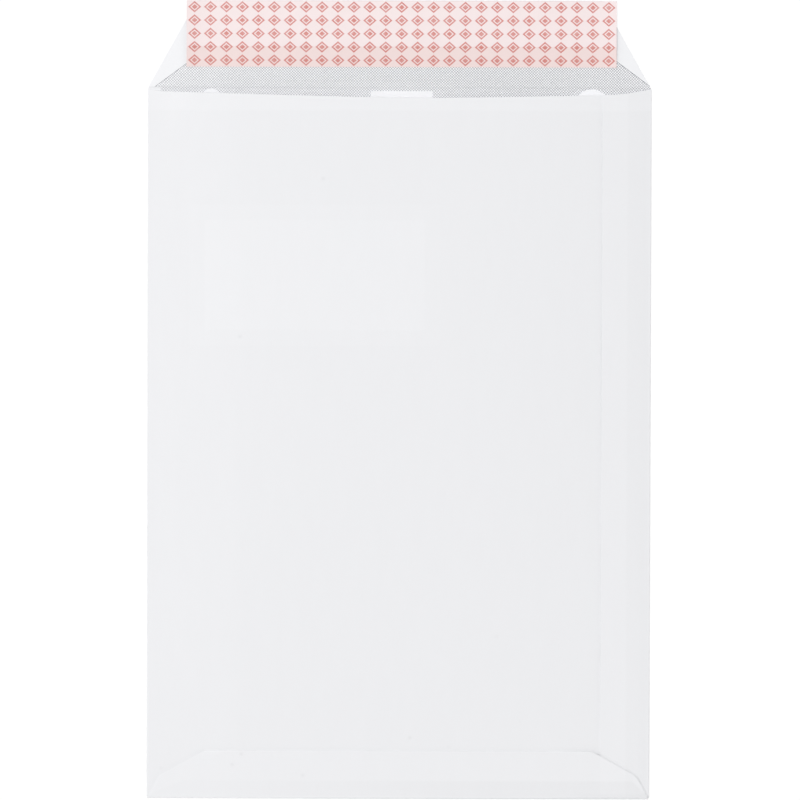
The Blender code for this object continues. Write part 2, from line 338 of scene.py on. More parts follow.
def rectangle(x, y, low, high, softness):
    """1 inside the rectangle from corner low to corner high."""
    centre = (low + high) / 2
    half = (high - low) / 2
    return product(near(x, centre.x, half.x, softness), near(y, centre.y, half.y, softness))


film_low, film_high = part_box("window_film")
glue_low, glue_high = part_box("window_glue")
glue_margin = Vector((GLUE_PAST_WINDOW, GLUE_PAST_WINDOW, 0))
window_size = glue_high - glue_low - 2 * glue_margin
side_flap_x = HALF_WIDTH - SIDE_FLAP_WIDTH
back_edge_x = HALF_WIDTH - BACK_EDGE_FROM_RIGHT

window = rectangle(x, y, glue_low + glue_margin, glue_high - glue_margin, LAYER_SOFTNESS)
film = rectangle(x, y, film_low, film_high, LAYER_SOFTNESS)
overlap = near(x, (side_flap_x + back_edge_x) / 2, (back_edge_x - side_flap_x) / 2, LAYER_SOFTNESS)
single = ramp(x, back_edge_x, back_edge_x + LAYER_SOFTNESS)
layer_tone = total(
    product(window, WINDOW_TONE),
    product(film, FILM_TONE),
    product(overlap, OVERLAP_TONE),
    product(single, SINGLE_LAYER_TONE),
)
print("window:", [round(1000 * side, 1) for side in window_size[:2]], "mm")

# %% [markdown]
# ## Wide bands of tone
#
# Two bands of this back are a little paler: a wide one down the left side, and a narrow one under
# the mouth. The last millimetres before the side folds bend away from the camera, and there painted
# shade makes the left one a little darker and painted light makes the right one a little paler. All
# four are ramps across the sheet.

# %% Bands beside the left fold and under the mouth
LEFT_BAND_FROM = 0.034
LEFT_BAND_TO = 0.048
UPPER_BAND_FROM = 0.0115
UPPER_BAND_TO = 0.010
SIDE_FOLD_FROM = 0.0005
SIDE_FOLD_TO = 0.0030
LEFT_BAND_TONE = 0.006
UPPER_BAND_TONE = 0.015
LEFT_FOLD_SHADE = -0.008
RIGHT_FOLD_LIGHT = 0.016

left_band = ramp(x, LEFT_BAND_FROM - HALF_WIDTH, LEFT_BAND_TO - HALF_WIDTH, 1, 0)
upper_band = ramp(above_fold, -UPPER_BAND_FROM, -UPPER_BAND_TO)
# Painted shade beside the left fold, and painted light beside the right fold.
left_fold_shade = ramp(x, SIDE_FOLD_FROM - HALF_WIDTH, SIDE_FOLD_TO - HALF_WIDTH, 1, 0)
right_fold_light = ramp(x, HALF_WIDTH - SIDE_FOLD_TO, HALF_WIDTH - SIDE_FOLD_FROM)
band_tone = total(
    product(left_band, LEFT_BAND_TONE),
    product(upper_band, UPPER_BAND_TONE),
    product(left_fold_shade, LEFT_FOLD_SHADE),
    product(right_fold_light, RIGHT_FOLD_LIGHT),
)
print("left band fades out", round(1000 * LEFT_BAND_TO), "mm from the left fold")

# %% [markdown]
# ## The bottom flap
#
# The bottom flap is glued over the lower ends of the back. Its sides run in steeply from the
# corners and then turn in at a shallow angle, up to its straight top edge. The same two slopes that
# shape the solid tell here which points are on the flap, where one more layer of paper is a little
# paler. Painted light makes it paler still on the side of the lamp.

# %% Tone of the bottom flap
BOTTOM_FLAP_DEPTH = 0.0217
BOTTOM_FLAP_NARROWING = 0.0262
BOTTOM_FLAP_SIDE_SLOPE = math.tan(math.radians(27.5))
BOTTOM_FLAP_SHOULDER_SLOPE = 1 / math.tan(math.radians(28.9))
FLAP_EDGE_SOFTNESS = 0.0006
FLAP_TONES_AND_LIGHT = (0.010, 0.005)

steep = product(above_bottom, BOTTOM_FLAP_SIDE_SLOPE)
below_flap_edge = calc("SUBTRACT", BOTTOM_FLAP_DEPTH, above_bottom)
shallow = total(product(below_flap_edge, -BOTTOM_FLAP_SHOULDER_SLOPE), BOTTOM_FLAP_NARROWING)
past_slant = total(calc("ABSOLUTE", x), calc("MAXIMUM", steep, shallow), -HALF_WIDTH)
bottom_flap = product(
    ramp(past_slant, -FLAP_EDGE_SOFTNESS / 2, FLAP_EDGE_SOFTNESS / 2, 1, 0),
    ramp(below_flap_edge, -FLAP_EDGE_SOFTNESS / 2, FLAP_EDGE_SOFTNESS / 2),
)
# The extra layer is paler, and painted light adds more towards the lamp on the left.
flap_tone_and_light = product(bottom_flap, ramp(x, -HALF_WIDTH, HALF_WIDTH, *FLAP_TONES_AND_LIGHT))
print("bottom flap:", round(1000 * BOTTOM_FLAP_DEPTH, 1), "mm deep")

# %% [markdown]
# ## The lowest band
#
# Under the bottom flap, the back panel and the side flap end a little above the bottom fold. Below
# their ends there are fewer layers, and the paper is a little darker. Painted shade makes it darker
# still away from the lamp. The hidden ends run down towards both corners, which the faint step on
# the flap follows.

# %% Tone of the lowest band
HIDDEN_END_GAP = 0.008
HIDDEN_CORNER_CUT = 0.0009
LEFT_CORNER_LENGTH = 0.016
RIGHT_CORNER_LENGTH = 0.008
HIDDEN_END_FADE = (-0.0005, 0.001)
LOWEST_TONES_AND_SHADE = (-0.011, -0.031)

from_left = calc("DIVIDE", calc("ADD", x, HALF_WIDTH), LEFT_CORNER_LENGTH)
from_right = calc("DIVIDE", calc("SUBTRACT", HALF_WIDTH, x), RIGHT_CORNER_LENGTH)
corner_share = calc("MINIMUM", calc("MINIMUM", from_left, from_right), 1.0)
hidden_end = total(product(corner_share, HIDDEN_END_GAP - HIDDEN_CORNER_CUT), HIDDEN_CORNER_CUT)
lowest_band = ramp(calc("SUBTRACT", above_bottom, hidden_end), *HIDDEN_END_FADE, 1, 0)
# Fewer layers make this band darker, and painted shade adds more away from the lamp on the left.
lowest_tone_and_shade = product(lowest_band, ramp(x, -HALF_WIDTH, HALF_WIDTH, *LOWEST_TONES_AND_SHADE))
print("hidden ends:", round(1000 * HIDDEN_END_GAP, 1), "mm above the bottom fold")

# %% [markdown]
# ## Beside the cut edges
#
# Pressed paper lies tight on the sheet below, and its cut edge catches the light. These solids keep
# small clearances, which makes the shadow beside two of the edges too deep, and leaves it too faint
# beside the slanted edge that faces away from the light. Moving the solids would only trade one for
# the other. So a fine line of painted light follows each edge that faces the light, and a line of
# painted shadow follows the last.

# %% Lines beside the cut edges
TOP_EDGE_LINE = 0.0012
SIDE_EDGE_LINE = 0.0012
SLANT_LINE = 0.0006
LINE_SHIFT = 0.0002
LINE_SOFTNESS = 0.0003
SLANT_SIDE_FADE = 0.01
TOP_EDGE_LIGHT = 0.030
SIDE_EDGE_LIGHT = 0.018
LEFT_SLANT_LIGHT = 0.012
RIGHT_SLANT_TURN = (0.009, 0.012)
RIGHT_SLANT_SHADOWS = (-0.060, -0.012)

along_top_edge = near(below_flap_edge, -LINE_SHIFT, TOP_EDGE_LINE / 2, LINE_SOFTNESS)
between_slants = near(x, 0.0, HALF_WIDTH - BOTTOM_FLAP_NARROWING, LINE_SOFTNESS)
beside_seam = near(x, side_flap_x - LINE_SHIFT, SIDE_EDGE_LINE / 2, LINE_SOFTNESS)
on_back = product(ramp(below_flap_edge, 0.0, -LINE_SOFTNESS, 0, 1), calc("SUBTRACT", 1.0, past_fold))
outside_slant = near(past_slant, SLANT_LINE / 2, SLANT_LINE / 2, LINE_SOFTNESS)
across_slant = near(past_slant, -SLANT_LINE, SLANT_LINE, LINE_SOFTNESS)
right_slant = product(outside_slant, ramp(x, 0.0, SLANT_SIDE_FADE))
left_slant = product(across_slant, ramp(x, -SLANT_SIDE_FADE, 0.0, 1, 0))
right_slant_shadow = ramp(above_bottom, *RIGHT_SLANT_TURN, *RIGHT_SLANT_SHADOWS)
below_top_edge = ramp(below_flap_edge, 0.0, LINE_SOFTNESS)
# Painted light beside the top edge, the seam and the left slant, and painted shadow beside the right
# slant.
edge_light_and_shadow = total(
    product(along_top_edge, between_slants, TOP_EDGE_LIGHT),
    product(beside_seam, on_back, SIDE_EDGE_LIGHT),
    product(right_slant, below_top_edge, right_slant_shadow),
    product(left_slant, below_top_edge, LEFT_SLANT_LIGHT),
)
print("lines beside the edges:", 1000 * TOP_EDGE_LINE, 1000 * SIDE_EDGE_LINE, 1000 * SLANT_LINE, "mm")

# %% [markdown]
# ## The hatch, and where it shows through
#
# Business envelopes are printed inside, so that a letter can't be read through them. Here the print
# is a hatch of fine diagonal lines, both ways. A line is where the remainder of a slanted distance,
# divided by the pitch, lies near one half. Seen from the back it shows through faintly at both ends
# of the mouth, where the light falls in behind the panel.

# %% Hatch lines and where they show through
HATCH_PITCH = 0.00125
HATCH_LINE_SHARE = 0.143
MOUTH_CENTRE_X = 0.001
MOUTH_END_X = 0.105
MOUTH_END_LENGTH = 0.008
MOUTH_END_DEPTH = 0.0018
MOUTH_END_SOFTNESS = 0.001
SHOW_THROUGH_TONE = -0.022


def hatch_lines(x, y):
    """Fine crossing diagonal lines: 1 on a line and 0 beside it."""
    lines = []
    for slant in (calc("ADD", x, y), calc("SUBTRACT", x, y)):
        turns = calc("FRACT", calc("DIVIDE", slant, HATCH_PITCH))
        lines.append(near(turns, 0.5, HATCH_LINE_SHARE / 2, HATCH_LINE_SHARE / 2))
    return calc("MAXIMUM", *lines)


from_middle = calc("ABSOLUTE", calc("SUBTRACT", x, MOUTH_CENTRE_X))
at_mouth_ends = near(from_middle, MOUTH_END_X, MOUTH_END_LENGTH / 2, MOUTH_END_SOFTNESS)
just_below_fold = near(above_fold, -MOUTH_END_DEPTH, MOUTH_END_DEPTH, MOUTH_END_SOFTNESS)
through_tone = product(hatch_lines(x, y), at_mouth_ends, just_below_fold, SHOW_THROUGH_TONE)
print("hatch: a line every", round(1000 * HATCH_PITCH / math.sqrt(2), 2), "mm")

# %% [markdown]
# ## Flecks
#
# A sheet of this size always has a few specks of darker fibre. Spread evenly they would look like
# a pattern, so there are only nine, most of them near the bottom, and three are fainter.

# %% Flecks
FLECK_RADIUS = 0.0014
FLECKS = (
    (0.0054, -0.1538, -0.050),
    (-0.0755, -0.1662, -0.050),
    (-0.0346, 0.1005, -0.050),
    (-0.0434, -0.1711, -0.050),
    (-0.0714, -0.1615, -0.050),
    (-0.0722, 0.0287, -0.050),
    (-0.1080, -0.1680, -0.025),
    (0.0230, -0.1579, -0.025),
    (0.0448, -0.1074, -0.025),
)

fleck_tone = 0.0
for fleck_x, fleck_y, this_tone in FLECKS:
    across = near(x, fleck_x, FLECK_RADIUS / 2, FLECK_RADIUS)
    along = near(y, fleck_y, FLECK_RADIUS / 2, FLECK_RADIUS)
    fleck_tone = calc("ADD", product(across, along, this_tone), fleck_tone)
print("flecks:", len(FLECKS))

# %% [markdown]
# ## All tones in one colour
#
# The tones of the back add up. On the front only the lap of the film shows, as a faint frame round
# the window. The grain multiplies the result, which then scales one white. Scaling one colour
# keeps every part of the sheet the same paper. The tooth of uncoated paper, about a hundredth of a
# millimetre, is far too fine for geometry, so that alone is left to bump.

# %% Colour and tooth of the white paper
PAPER_WHITE = (0.905, 0.909, 0.928)
FILM_LAP_TONE = 0.008
TOOTH_HEIGHT = 0.00002
FINE_TOOTH_SCALE = 2600
COARSE_TOOTH_SCALE = 500


def scaled(colour, tone):
    """A colour, made lighter or darker by a tone around 1."""
    node = network_of(tone).nodes.new("ShaderNodeVectorMath")
    node.operation = "SCALE"
    feed(colour, node.inputs[0])
    feed(tone, node.inputs["Scale"])
    return node.outputs[0]


def raise_surface(shader, height, distance):
    """Let a pattern of heights tilt the shading of the surface."""
    bump = shader.id_data.nodes.new("ShaderNodeBump")
    bump.inputs["Distance"].default_value = distance
    feed(height, bump.inputs["Height"])
    feed(bump.outputs["Normal"], shader.inputs["Normal"])


def add_paper_tooth(shader, place):
    """The tooth of uncoated paper, a fine one on a coarse one."""
    fine = speckle(place, FINE_TOOTH_SCALE, FINE_DETAIL)
    raise_surface(shader, total(fine, speckle(place, COARSE_TOOTH_SCALE)), TOOTH_HEIGHT)


back_tone = total(layer_tone, band_tone, flap_tone_and_light, lowest_tone_and_shade, edge_light_and_shadow, through_tone, fleck_tone)
front_tone = product(film, FILM_LAP_TONE)
side_tone = ramp(on_top, 0.0, 1.0, front_tone, back_tone)
tones = total(product(past_fold, 1 - OVER_PRINT), OVER_PRINT, side_tone)
feed(scaled(PAPER_WHITE, product(tones, grain)), paper_shader.inputs["Base Color"])
add_paper_tooth(paper_shader, place)
print("white paper:", len(white_paper.node_tree.nodes), "nodes")

# %% [markdown]
# ## The grey print inside
#
# The hatch covers the inside of the pocket and the lower part of the flap, where it ends in a
# straight top and two slanted ends with a thin border line. The printed side is the same sheet, so
# it gets its own finish from the same paper, and only the ink is new.

# %% Where the hatch is printed
PRINT_CENTRE_X = 0.0017
PRINT_HALF_WIDTH = 0.1131
PRINT_FLAP_DEPTH = 0.018
PRINT_FLAP_SLOPE = 1.35
PRINT_BORDER = 0.0003
PRINT_SOFTNESS = 0.0002
POCKET_PRINT_LEFT_X = -0.1088

printed_paper, print_shader, place = start_finish("printed_paper", PAPER_ROUGHNESS, PAPER_GLOSS)
x, y, _ = along_axes(place)
above_fold = calc("SUBTRACT", y, FOLD_Y)
off_centre = calc("ABSOLUTE", calc("SUBTRACT", x, PRINT_CENTRE_X))
drawn_in = product(calc("MAXIMUM", above_fold, 0.0), PRINT_FLAP_SLOPE)
inside = calc("SUBTRACT", PRINT_HALF_WIDTH, calc("ADD", off_centre, drawn_in))
below_top = ramp(above_fold, PRINT_FLAP_DEPTH, PRINT_FLAP_DEPTH + PRINT_SOFTNESS, 1, 0)
on_flap = ramp(above_fold, -PRINT_SOFTNESS, 0.0)
past_left_end = ramp(x, POCKET_PRINT_LEFT_X, POCKET_PRINT_LEFT_X + PRINT_SOFTNESS)
on_border = near(inside, PRINT_BORDER / 2, PRINT_BORDER / 2, PRINT_SOFTNESS / 2)
printed_area = product(
    ramp(inside, 0.0, PRINT_SOFTNESS),
    below_top,
    calc("MAXIMUM", on_flap, past_left_end),
)
border_line = product(on_border, below_top, on_flap)
print("print reaches", round(1000 * PRINT_FLAP_DEPTH, 1), "mm up the flap")

# %% [markdown]
# ## Bare places in the print
#
# A bare rectangle and two bare rounds are left out of the hatch, just under the top fold. Their
# outlines are sharp, as a printing plate's are.

# %% Bare places in the print
BARE_RECTANGLE_X = (-0.0131, 0.0149)
BARE_RECTANGLE_FROM_FOLD = 0.0018
BARE_RECTANGLE_LENGTH = 0.009
BARE_ROUNDS = ((-0.0858, 0.0042), (0.0873, 0.0080))
BARE_ROUND_FROM_FOLD = 0.0008


def circle(x, y, centre_x, centre_y, radius, softness):
    """1 inside a circle."""
    across = calc("POWER", calc("SUBTRACT", x, centre_x), 2)
    along = calc("POWER", calc("SUBTRACT", y, centre_y), 2)
    away = calc("SQRT", calc("ADD", across, along))
    return ramp(away, radius - softness / 2, radius + softness / 2, 1, 0)


bare_top = FOLD_Y - BARE_RECTANGLE_FROM_FOLD
bare_low = Vector((BARE_RECTANGLE_X[0], bare_top - BARE_RECTANGLE_LENGTH))
bare_high = Vector((BARE_RECTANGLE_X[1], bare_top))
bare = rectangle(x, y, bare_low, bare_high, PRINT_SOFTNESS)
for centre_x, radius in BARE_ROUNDS:
    centre_y = FOLD_Y - BARE_ROUND_FROM_FOLD - radius
    bare = calc("MAXIMUM", bare, circle(x, y, centre_x, centre_y, radius, PRINT_SOFTNESS))
print("bare places:", 1 + len(BARE_ROUNDS))

# %% [markdown]
# ## Ink, paper and fold
#
# Ink on uncoated paper is never even: it breaks up a little along each line. The hatch gets
# darker towards the right, on the flap and more so in the pocket, where that darkening is painted
# shade. Just above the fold the flap's hatch is paler, which is painted light. The paper between
# fine lines looks a little brighter than plain paper does. Inside the pocket real paper lets light
# through, which these solids don't, so painted light raises the tone there, most of all deep inside
# and in the bare places. The crease of the fold is a slightly darker line of painted shade, and the
# bare left corner of the flap is paler. Each of the three ink ramps holds where it starts and ends,
# and its first and last strength.

# %% Ink on the paper
PRINT_GREY = (0.12, 0.13, 0.15, 1)
FLAP_INK_LIGHT_AT_FOLD = (0.0, 0.004, 0.86, 1.0)
FLAP_INK_ACROSS = (-0.10, 0.16, 0.92, 1.18)
POCKET_INK_SHADE_ACROSS = (-0.11, 0.12, 0.75, 1.10)
INK_BREAK_SCALE = 1800
INK_BREAK_TONES = (0.85, 1.0)
BETWEEN_LINES = 0.044
POCKET_FADE = 0.0015
POCKET_LIGHT = 0.085
DEEP_FROM = 0.003
DEEP_TO = 0.011
DEEP_LIGHT = 0.07
BARE_LIGHT = 0.05
FOLD_SHADE_TONE = -0.035
FOLD_SHADE_Y = FOLD_Y - 0.0003
FOLD_SHADE_HALF_WIDTH = 0.0004
LEFT_CORNER_FROM = -0.088
LEFT_CORNER_TO = -0.076
LEFT_CORNER_TONE = 0.016


def blend(mask, first, second, how="MIX"):
    """The first colour where mask is 0, and the second, or its product with it, where it is 1."""
    node = network_of(mask).nodes.new("ShaderNodeMix")
    node.data_type = "RGBA"
    node.blend_type = how
    feed(mask, node.inputs["Factor"])
    feed(first, node.inputs["A"])
    feed(second, node.inputs["B"])
    return node.outputs["Result"]


in_pocket = ramp(above_fold, -POCKET_FADE, 0.0, 1, 0)
deep = ramp(above_fold, -DEEP_TO, -DEEP_FROM, 1, 0)
hatched = product(printed_area, calc("SUBTRACT", 1.0, bare))
ink = calc("MAXIMUM", product(hatch_lines(x, y), hatched), border_line)
# Painted light pales the flap's hatch just above the fold, and painted shade darkens the pocket's
# hatch towards the right.
flap_ink_and_light = product(ramp(above_fold, *FLAP_INK_LIGHT_AT_FOLD), ramp(x, *FLAP_INK_ACROSS))
pocket_ink_shade = ramp(x, *POCKET_INK_SHADE_ACROSS)
broken = mottle(place, INK_BREAK_SCALE, INK_BREAK_TONES)
ink = product(ink, broken, ramp(in_pocket, 0.0, 1.0, flap_ink_and_light, pocket_ink_shade))
# A line of painted shade follows the crease of the fold.
fold_shade = near(y, FOLD_SHADE_Y, FOLD_SHADE_HALF_WIDTH, FOLD_SHADE_HALF_WIDTH)
left_corner = product(on_flap, ramp(x, LEFT_CORNER_FROM, LEFT_CORNER_TO, 1, 0))
# Painted light raises the paper's tone inside the pocket, most of all deep inside and in the bare
# places.
tone = total(
    paper_grain(place),
    product(left_corner, LEFT_CORNER_TONE),
    product(hatched, BETWEEN_LINES),
    product(in_pocket, POCKET_LIGHT),
    product(deep, DEEP_LIGHT),
    product(in_pocket, bare, BARE_LIGHT),
    product(fold_shade, FOLD_SHADE_TONE),
)
feed(blend(ink, scaled(PAPER_WHITE, tone), PRINT_GREY), print_shader.inputs["Base Color"])
add_paper_tooth(print_shader, place)
print("printed paper:", len(printed_paper.node_tree.nodes), "nodes")

# %% [markdown]
# ## Which side is printed
#
# The blank is printed on one side before it is folded, so after folding the print faces up on the
# front panel and on the open flap, and down on everything folded over them. A face's normal and
# its height tell which side it is on, with no need to pick faces by hand.

# %% Give each side of the sheet its finish
FACING = 0.7
PRINTED_SLOT = 1


def faces_the_inside(face):
    """True for the inner side of a panel or flap, which is the printed side of the blank."""
    on_front = face.center.z < 2 * PAPER
    return face.normal.z > FACING if on_front else face.normal.z < -FACING


sheet_mesh.materials.append(white_paper)
sheet_mesh.materials.append(printed_paper)
printed = [face for face in sheet_mesh.polygons if faces_the_inside(face)]
for face in printed:
    face.material_index = PRINTED_SLOT
print(len(printed), "of", len(sheet_mesh.polygons), "faces carry the print")

# %% [markdown]
# ## The release liner
#
# A strip of thin siliconed paper covers the flap's adhesive until the envelope is closed. A plain
# box would give it edges but no life: thin paper follows what lies under it. So it starts as a flat
# grid at its size and place, with enough rows and columns to bend.

# %% Add the liner strip as a grid
LINER_COLUMNS = 96
LINER_ROWS = 15


def add_grid(name, low, high, columns, rows):
    """A flat grid of faces that fills the box from low to high, at the height of low."""
    bpy.ops.object.select_all(action="DESELECT")
    bpy.ops.mesh.primitive_grid_add(
        x_subdivisions=columns,
        y_subdivisions=rows,
        size=1,
        location=((low.x + high.x) / 2, (low.y + high.y) / 2, low.z),
    )
    grid = bpy.context.object
    grid.name = name
    grid.scale = (high.x - low.x, high.y - low.y, 1)
    bpy.ops.object.transform_apply(location=True, rotation=True, scale=True)
    return grid


liner_low, liner_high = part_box("release_liner")
liner_size = liner_high - liner_low
liner_strip = add_grid("liner_strip", liner_low, liner_high, LINER_COLUMNS, LINER_ROWS)
print("liner strip:", [round(1000 * side, 2) for side in liner_size], "mm")

# %% [markdown]
# ## Where the strip sinks and lifts
#
# The strip is held by the adhesive along the upper part of the flap. Below the adhesive it sinks
# onto the flap, and its two ends, which reach past the flap, lift a little. Both are done as by
# hand in edit mode, in small steps: pick every point past a line, move it by a little, and go on to
# the next line.

# %% Bend the strip in edit mode
SINK_DEPTH = 0.0002
SINK_FROM_Y = FOLD_Y + 0.020
SINK_TO_Y = FOLD_Y + 0.013
SINK_STEPS = 7
LIFT_HEIGHT = 0.0004
LIFT_LENGTH = 0.012
LIFT_STEPS = 8


def move_points(piece, chosen, rise):
    """In edit mode, move every point that is chosen by its place up or down."""
    mesh = bmesh.from_edit_mesh(piece.data)
    for point in mesh.verts:
        point.select_set(chosen(point.co))
    bmesh.update_edit_mesh(piece.data)
    bpy.ops.transform.translate(value=(0, 0, rise))


bpy.ops.object.mode_set(mode="EDIT")
bpy.ops.mesh.select_mode(type="VERT")
liner_middle = (liner_low.x + liner_high.x) / 2
for step in range(SINK_STEPS):
    line = SINK_FROM_Y + (SINK_TO_Y - SINK_FROM_Y) * (step + 0.5) / SINK_STEPS
    move_points(liner_strip, lambda at: at.y < line, -SINK_DEPTH / SINK_STEPS)
for step in range(LIFT_STEPS):
    reach = liner_size.x / 2 - LIFT_LENGTH * (1 - math.sqrt((step + 0.5) / LIFT_STEPS))
    move_points(liner_strip, lambda at: abs(at.x - liner_middle) > reach, LIFT_HEIGHT / LIFT_STEPS)
bpy.ops.object.mode_set(mode="OBJECT")
heights = [point.co.z for point in liner_strip.data.vertices]
print("liner heights:", round(1000 * min(heights), 2), "to", round(1000 * max(heights), 2), "mm")

# %% [markdown]
# ## A slow wave and a thickness
#
# Thin paper never lies quite flat. A Displace modifier with slow clouds gives it a wave of a tenth
# of a millimetre, and a Solidify modifier gives it the thickness of the real strip. Both are
# applied, so that the mesh itself holds what is seen.

# %% Wave and thickness of the strip
LINER_WAVE = 0.0001
LINER_WAVE_LENGTH = 0.04


def ripple(piece, height, length):
    """Let a sheet of faces rise and fall by this height over about this length."""
    clouds = bpy.data.textures.new(piece.name + "_clouds", "CLOUDS")
    clouds.noise_scale = length
    wave = piece.modifiers.new("Wave", "DISPLACE")
    wave.texture = clouds
    wave.texture_coords = "LOCAL"
    wave.direction = "Z"
    wave.mid_level = 0
    wave.strength = height
    bpy.ops.object.modifier_apply(modifier=wave.name)


def thicken(piece, thickness):
    """Give a sheet of faces its thickness, upwards, and shade it."""
    solid = piece.modifiers.new("Thickness", "SOLIDIFY")
    solid.thickness = thickness
    solid.offset = 1
    bpy.ops.object.modifier_apply(modifier=solid.name)
    bpy.ops.object.shade_smooth_by_angle(angle=CRISP_FROM)


ripple(liner_strip, LINER_WAVE, LINER_WAVE_LENGTH)
thicken(liner_strip, liner_size.z)
print("liner strip:", len(liner_strip.data.polygons), "faces")

# %% [markdown]
# ## The print on the liner
#
# Such strips carry a small repeated print in coral red, so that they are easy to see and peel. Here
# it is a straight grid of outlined diamonds with a solid one inside. A diamond needs no picture: it
# is where the shares of the way along both of its diagonals add up to a fixed number.

# %% Diamonds on the liner
DIAMOND_COLUMNS = 27
DIAMOND_ROWS = 5
DIAMOND_HALF_WIDTH = 0.0030
DIAMOND_HALF_HEIGHT = 0.0026
DIAMOND_STROKE = 0.00065
SMALL_DIAMOND = 0.45
LINER_ROUGHNESS = 0.45
LINER_GLOSS = 0.4


def cell_offset(value, start, pitch):
    """How far a point lies from the middle of its cell in a row of cells."""
    turns = calc("FRACT", calc("DIVIDE", calc("SUBTRACT", value, start), pitch))
    return product(calc("SUBTRACT", turns, 0.5), pitch)


printed_liner, liner_shader, place = start_finish("printed_liner", LINER_ROUGHNESS, LINER_GLOSS)
x, y, _ = along_axes(place)
across = calc("ABSOLUTE", cell_offset(x, liner_low.x, liner_size.x / DIAMOND_COLUMNS))
along = calc("ABSOLUTE", cell_offset(y, liner_low.y, liner_size.y / DIAMOND_ROWS))
share_across = calc("DIVIDE", across, DIAMOND_HALF_WIDTH)
share_along = calc("DIVIDE", along, DIAMOND_HALF_HEIGHT)
reach = calc("ADD", share_across, share_along)
half_stroke = DIAMOND_STROKE * math.hypot(1 / DIAMOND_HALF_WIDTH, 1 / DIAMOND_HALF_HEIGHT) / 2
softness = half_stroke / 2
outline = near(reach, 1 - half_stroke, half_stroke, softness)
small = ramp(reach, SMALL_DIAMOND - softness / 2, SMALL_DIAMOND + softness / 2, 1, 0)
diamonds = calc("MAXIMUM", outline, small)
print("diamonds:", DIAMOND_COLUMNS * DIAMOND_ROWS)

# %% [markdown]
# ## Ink and paper of the liner
#
# The strip is a pale pink, slightly glossy paper with cloudy places. The hatched part of the flap
# shows through it as a greyer band. Real translucency would be slow and hard to steer, so the band
# is multiplied into the colour, and it ends where the print on the flap ends.

# %% Ink and paper of the liner
LINER_GROUND = (0.908, 0.786, 0.786)
LINER_INK = (0.655, 0.232, 0.207, 1)
OVER_HATCH = (0.955, 0.90, 0.88, 1)
OVER_HATCH_SOFTNESS = 0.0008
LINER_INK_SCALE = 900
LINER_INK_TONES = (0.8, 1.0)
LINER_CLOUD_SCALE = 150
LINER_CLOUD_TONES = (0.985, 1.0)
LINER_TOOTH_SCALE = 700
LINER_TOOTH_HEIGHT = 0.00001

ink = product(diamonds, mottle(place, LINER_INK_SCALE, LINER_INK_TONES))
cloudy = mottle(place, LINER_CLOUD_SCALE, LINER_CLOUD_TONES, FINE_DETAIL)
printed_strip = blend(ink, scaled(LINER_GROUND, cloudy), LINER_INK)
print_top_y = FOLD_Y + PRINT_FLAP_DEPTH
over_print = ramp(y, print_top_y, print_top_y + OVER_HATCH_SOFTNESS, 1, 0)
feed(blend(over_print, printed_strip, OVER_HATCH, "MULTIPLY"), liner_shader.inputs["Base Color"])
raise_surface(liner_shader, speckle(place, LINER_TOOTH_SCALE, FINE_DETAIL), LINER_TOOTH_HEIGHT)
liner_strip.data.materials.append(printed_liner)
print("printed liner:", len(printed_liner.node_tree.nodes), "nodes")

# %% [markdown]
# ## The window film
#
# The film is a clear sheet, glued in a frame behind the window hole. It is never quite flat between
# its glue lines, and its slow ripples are what the eye sees when light glances off it. It is made
# as the liner was: a fine grid, a ripple of a few hundredths of a millimetre, and a thickness.

# %% Build the window film
FILM_COLUMNS = 76
FILM_ROWS = 43
FILM_RIPPLE = 0.00006
FILM_RIPPLE_LENGTH = 0.02

film_sheet = add_grid("film_sheet", film_low, film_high, FILM_COLUMNS, FILM_ROWS)
ripple(film_sheet, FILM_RIPPLE, FILM_RIPPLE_LENGTH)
thicken(film_sheet, film_high.z - film_low.z)
print("film sheet:", len(film_sheet.data.polygons), "faces")

# %% [markdown]
# ## Clear film
#
# Glass shading would bend the light as a thick pane does and take long to clear up. Film this thin
# only adds a gloss and a slight haze over what lies behind it, which a low alpha gives at once.

# %% Clear film finish
FILM_ALPHA = 0.22
FILM_COLOUR = (0.92, 0.93, 0.95)
FILM_ROUGHNESS = 0.06
FILM_GLOSS = 0.5
HAZE_SCALE = 120
HAZE_TONES = (0.97, 1.0)

clear_film, film_shader, place = start_finish("clear_film", FILM_ROUGHNESS, FILM_GLOSS)
film_shader.inputs["Alpha"].default_value = FILM_ALPHA
haze = mottle(place, HAZE_SCALE, HAZE_TONES)
feed(scaled(FILM_COLOUR, haze), film_shader.inputs["Base Color"])
film_sheet.data.materials.append(clear_film)
print("clear film shows", round(100 * (1 - FILM_ALPHA)), "% of what is behind it")

# %% [markdown]
# ## Glue and adhesive
#
# Two glues hold the envelope. The seams and the window are set with a thin dried glue, slightly
# yellow and uneven. The flap has a band of soft adhesive that stays tacky, so it is smoother and
# shinier. They are hidden while the envelope is whole, but whoever takes it apart sees them.

# %% Glue and adhesive finishes
GLUE_COLOUR = (0.80, 0.78, 0.70)
GLUE_ROUGHNESS = 0.45
GLUE_CLOUD_SCALE = 400
GLUE_TONES = (0.93, 1.05)
ADHESIVE_COLOUR = (0.86, 0.84, 0.78)
ADHESIVE_ROUGHNESS = 0.25
ADHESIVE_CLOUD_SCALE = 250
ADHESIVE_TONES = (0.93, 1.03)
GLUE_GLOSS = 0.5
GLUE_BUMP = 0.00002


def make_glue(name, colour, roughness, cloud_scale, tones):
    """A cloudy, slightly lumpy finish for dried glue or soft adhesive."""
    finish, shader, place = start_finish(name, roughness, GLUE_GLOSS)
    cloudy = mottle(place, cloud_scale, tones, FINE_DETAIL)
    feed(scaled(colour, cloudy), shader.inputs["Base Color"])
    raise_surface(shader, speckle(place, 2 * cloud_scale), GLUE_BUMP)
    return finish


